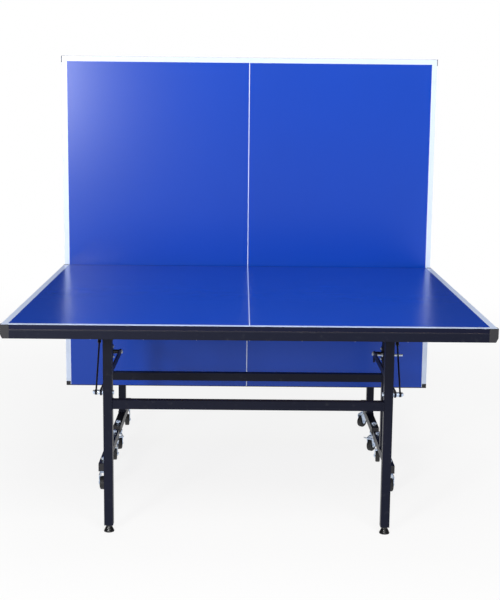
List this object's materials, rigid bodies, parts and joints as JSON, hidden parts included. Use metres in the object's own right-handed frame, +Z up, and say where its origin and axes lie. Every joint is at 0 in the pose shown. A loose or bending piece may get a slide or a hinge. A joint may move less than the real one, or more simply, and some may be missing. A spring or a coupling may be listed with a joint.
{
  "type": "table tennis table",
  "caption": "Roll-away table tennis table in two separate tilting halves on castored chassis, one half upright as a playback wall.",
  "frame": {"origin": "on the floor, in the middle of the table's bounding box", "axes": "+X along the net line to the right as seen from the near end, +Y along the table's length towards the upright far half, +Z up"},
  "size_m": [1.531, 1.712, 1.612],
  "materials": {
    "board": "matte blue paint with white lines",
    "navy_steel": "satin powder coat",
    "black_steel": "satin",
    "black_plastic": "fine texture",
    "black_rubber": "semi-gloss",
    "tyre": "matte",
    "zinc": "bright zinc plate"
  },
  "bodies": {
    "near_chassis": {"near_rails": "navy_steel", "near_uprights": "navy_steel", "near_chassis_crossbar": "navy_steel", "near_tube_caps": "black_plastic", "near_castor_stems": "zinc", "near_link_brackets": "black_steel", "near_chassis_bolts": "zinc"},
    "near_top": {"near_top_board": "board", "near_apron": "navy_steel", "near_corner_caps": "black_plastic", "near_cross_rails": "navy_steel", "near_board_brackets": "navy_steel", "near_stay_tracks": "navy_steel"},
    "near_leg_frame": {"near_legs": "navy_steel", "near_leg_crossbar": "navy_steel", "near_feet": "black_rubber", "near_leg_bolts": "zinc"},
    "near_ties": {"near_tie_links": "navy_steel"},
    "near_stay_pair": {"near_stays": "black_steel"},
    "near_lock": {"near_lock_pin": "zinc"},
    "near_castor_end_left": {"near_fork_end_left": "zinc"},
    "near_roller_end_left": {"near_wheel_end_left": "tyre"},
    "near_castor_end_right": {"near_fork_end_right": "zinc"},
    "near_roller_end_right": {"near_wheel_end_right": "tyre"},
    "near_castor_net_left": {"near_fork_net_left": "zinc"},
    "near_roller_net_left": {"near_wheel_net_left": "tyre"},
    "near_brake_net_left": {"near_pedal_net_left": "zinc"},
    "near_castor_net_right": {"near_fork_net_right": "zinc"},
    "near_roller_net_right": {"near_wheel_net_right": "tyre"},
    "near_brake_net_right": {"near_pedal_net_right": "zinc"},
    "far_chassis": {"far_rails": "navy_steel", "far_uprights": "navy_steel", "far_chassis_crossbar": "navy_steel", "far_tube_caps": "black_plastic", "far_castor_stems": "zinc", "far_link_brackets": "black_steel", "far_chassis_bolts": "zinc"},
    "far_top": {"far_top_board": "board", "far_apron": "navy_steel", "far_corner_caps": "black_plastic", "far_cross_rails": "navy_steel", "far_board_brackets": "navy_steel", "far_stay_tracks": "navy_steel"},
    "far_leg_frame": {"far_legs": "navy_steel", "far_leg_crossbar": "navy_steel", "far_feet": "black_rubber", "far_leg_bolts": "zinc"},
    "far_ties": {"far_tie_links": "navy_steel"},
    "far_stay_pair": {"far_stays": "black_steel"},
    "far_lock": {"far_lock_pin": "zinc"},
    "far_castor_end_left": {"far_fork_end_left": "zinc"},
    "far_roller_end_left": {"far_wheel_end_left": "tyre"},
    "far_castor_end_right": {"far_fork_end_right": "zinc"},
    "far_roller_end_right": {"far_wheel_end_right": "tyre"},
    "far_castor_net_left": {"far_fork_net_left": "zinc"},
    "far_roller_net_left": {"far_wheel_net_left": "tyre"},
    "far_brake_net_left": {"far_pedal_net_left": "zinc"},
    "far_castor_net_right": {"far_fork_net_right": "zinc"},
    "far_roller_net_right": {"far_wheel_net_right": "tyre"},
    "far_brake_net_right": {"far_pedal_net_right": "zinc"}
  },
  "joints": [
    {"name": "near_fold", "type": "hinge", "parent": "near_chassis", "child": "near_top", "pos_m": [0, 0.084, 0.672], "axis": [-1, 0, 0], "range_deg": [0, 90]},
    {"name": "near_leg_turn", "type": "hinge", "parent": "near_top", "child": "near_leg_frame", "pos_m": [0, -0.576, 0.672], "axis": [-1, 0, 0], "range_deg": [-90.5, 0.5]},
    {"name": "near_tie_turn", "type": "hinge", "parent": "near_chassis", "child": "near_ties", "pos_m": [0, 0.084, 0.482], "axis": [-1, 0, 0], "range_deg": [-0.5, 90.5]},
    {"name": "near_stay_turn", "type": "hinge", "parent": "near_leg_frame", "child": "near_stay_pair", "pos_m": [0, -0.576, 0.482], "axis": [-1, 0, 0], "range_deg": [-0.5, 135.7]},
    {"name": "near_lock_slide", "type": "slide", "parent": "near_chassis", "child": "near_lock", "axis": [-1, 0, 0], "range_m": [0, 0.012]},
    {"name": "near_swivel_end_left", "type": "hinge", "parent": "near_chassis", "child": "near_castor_end_left", "pos_m": [-0.535, -0.106, 0.066], "axis": [0, 0, 1], "continuous": true},
    {"name": "near_spin_end_left", "type": "hinge", "parent": "near_castor_end_left", "child": "near_roller_end_left", "pos_m": [-0.53674, -0.12592, 0.025], "axis": [0.9962, -0.0872, 0], "continuous": true},
    {"name": "near_swivel_end_right", "type": "hinge", "parent": "near_chassis", "child": "near_castor_end_right", "pos_m": [0.535, -0.106, 0.066], "axis": [0, 0, 1], "continuous": true},
    {"name": "near_spin_end_right", "type": "hinge", "parent": "near_castor_end_right", "child": "near_roller_end_right", "pos_m": [0.53778, -0.12581, 0.025], "axis": [0.9903, 0.1392, 0], "continuous": true},
    {"name": "near_swivel_net_left", "type": "hinge", "parent": "near_chassis", "child": "near_castor_net_left", "pos_m": [-0.535, 0.274, 0.066], "axis": [0, 0, 1], "continuous": true},
    {"name": "near_spin_net_left", "type": "hinge", "parent": "near_castor_net_left", "child": "near_roller_net_left", "pos_m": [-0.53222, 0.2542, 0.025], "axis": [0.9903, 0.1392, 0], "continuous": true},
    {"name": "near_brake_press_net_left", "type": "hinge", "parent": "near_castor_net_left", "child": "near_brake_net_left", "pos_m": [-0.53082, 0.24429, 0.055], "axis": [0.9903, 0.1392, 0], "range_deg": [0, 10]},
    {"name": "near_swivel_net_right", "type": "hinge", "parent": "near_chassis", "child": "near_castor_net_right", "pos_m": [0.535, 0.274, 0.066], "axis": [0, 0, 1], "continuous": true},
    {"name": "near_spin_net_right", "type": "hinge", "parent": "near_castor_net_right", "child": "near_roller_net_right", "pos_m": [0.53291, 0.25411, 0.025], "axis": [0.9945, -0.1045, 0], "continuous": true},
    {"name": "near_brake_press_net_right", "type": "hinge", "parent": "near_castor_net_right", "child": "near_brake_net_right", "pos_m": [0.53186, 0.24416, 0.055], "axis": [0.9945, -0.1045, 0], "range_deg": [0, 10]},
    {"name": "far_fold", "type": "hinge", "parent": "far_chassis", "child": "far_top", "pos_m": [0, 0.617, 0.672], "axis": [-1, 0, 0], "range_deg": [0, 90]},
    {"name": "far_leg_turn", "type": "hinge", "parent": "far_top", "child": "far_leg_frame", "pos_m": [0, 0.617, 1.332], "axis": [-1, 0, 0], "range_deg": [-90.5, 0.5]},
    {"name": "far_tie_turn", "type": "hinge", "parent": "far_chassis", "child": "far_ties", "pos_m": [0, 0.617, 0.482], "axis": [-1, 0, 0], "range_deg": [-0.5, 90.5]},
    {"name": "far_stay_turn", "type": "hinge", "parent": "far_leg_frame", "child": "far_stay_pair", "pos_m": [0, 0.617, 1.142], "axis": [-1, 0, 0], "range_deg": [-0.5, 135.7]},
    {"name": "far_lock_slide", "type": "slide", "parent": "far_chassis", "child": "far_lock", "axis": [1, 0, 0], "range_m": [0, 0.012]},
    {"name": "far_swivel_end_left", "type": "hinge", "parent": "far_chassis", "child": "far_castor_end_left", "pos_m": [0.535, 0.807, 0.066], "axis": [0, 0, 1], "continuous": true},
    {"name": "far_spin_end_left", "type": "hinge", "parent": "far_castor_end_left", "child": "far_roller_end_left", "pos_m": [0.52086, 0.79286, 0.025], "axis": [0.7071, -0.7071, 0], "continuous": true},
    {"name": "far_swivel_end_right", "type": "hinge", "parent": "far_chassis", "child": "far_castor_end_right", "pos_m": [-0.535, 0.807, 0.066], "axis": [0, 0, 1], "continuous": true},
    {"name": "far_spin_end_right", "type": "hinge", "parent": "far_castor_end_right", "child": "far_roller_end_right", "pos_m": [-0.53153, 0.7873, 0.025], "axis": [0.9848, 0.1736, 0], "continuous": true},
    {"name": "far_swivel_net_left", "type": "hinge", "parent": "far_chassis", "child": "far_castor_net_left", "pos_m": [0.535, 0.427, 0.066], "axis": [0, 0, 1], "continuous": true},
    {"name": "far_spin_net_left", "type": "hinge", "parent": "far_castor_net_left", "child": "far_roller_net_left", "pos_m": [0.52296, 0.41103, 0.025], "axis": [0.7986, -0.6018, 0], "continuous": true},
    {"name": "far_brake_press_net_left", "type": "hinge", "parent": "far_castor_net_left", "child": "far_brake_net_left", "pos_m": [0.51695, 0.40304, 0.055], "axis": [0.7986, -0.6018, 0], "range_deg": [0, 10]},
    {"name": "far_swivel_net_right", "type": "hinge", "parent": "far_chassis", "child": "far_castor_net_right", "pos_m": [-0.535, 0.427, 0.066], "axis": [0, 0, 1], "continuous": true},
    {"name": "far_spin_net_right", "type": "hinge", "parent": "far_castor_net_right", "child": "far_roller_net_right", "pos_m": [-0.52882, 0.40798, 0.025], "axis": [0.9511, 0.309, 0], "continuous": true},
    {"name": "far_brake_press_net_right", "type": "hinge", "parent": "far_castor_net_right", "child": "far_brake_net_right", "pos_m": [-0.52573, 0.39847, 0.055], "axis": [0.9511, 0.309, 0], "range_deg": [0, 10]},
    {"name": "far_roll", "type": "slide", "parent": "near_chassis", "child": "far_chassis", "axis": [0, 1, 0], "range_m": [-0.001, 0.366]}
  ],
  "couplings": [
    {"joint": "near_leg_turn", "follows": "near_fold", "ratio": -1},
    {"joint": "near_tie_turn", "follows": "near_fold", "ratio": 1},
    {"joint": "near_stay_turn", "follows": "near_fold", "ratio": 1.5023},
    {"joint": "far_leg_turn", "follows": "far_fold", "ratio": -1},
    {"joint": "far_tie_turn", "follows": "far_fold", "ratio": 1},
    {"joint": "far_stay_turn", "follows": "far_fold", "ratio": 1.5023},
    {"joint": "far_roll", "follows": "far_fold", "m_per_rad": 0.23237}
  ]
}
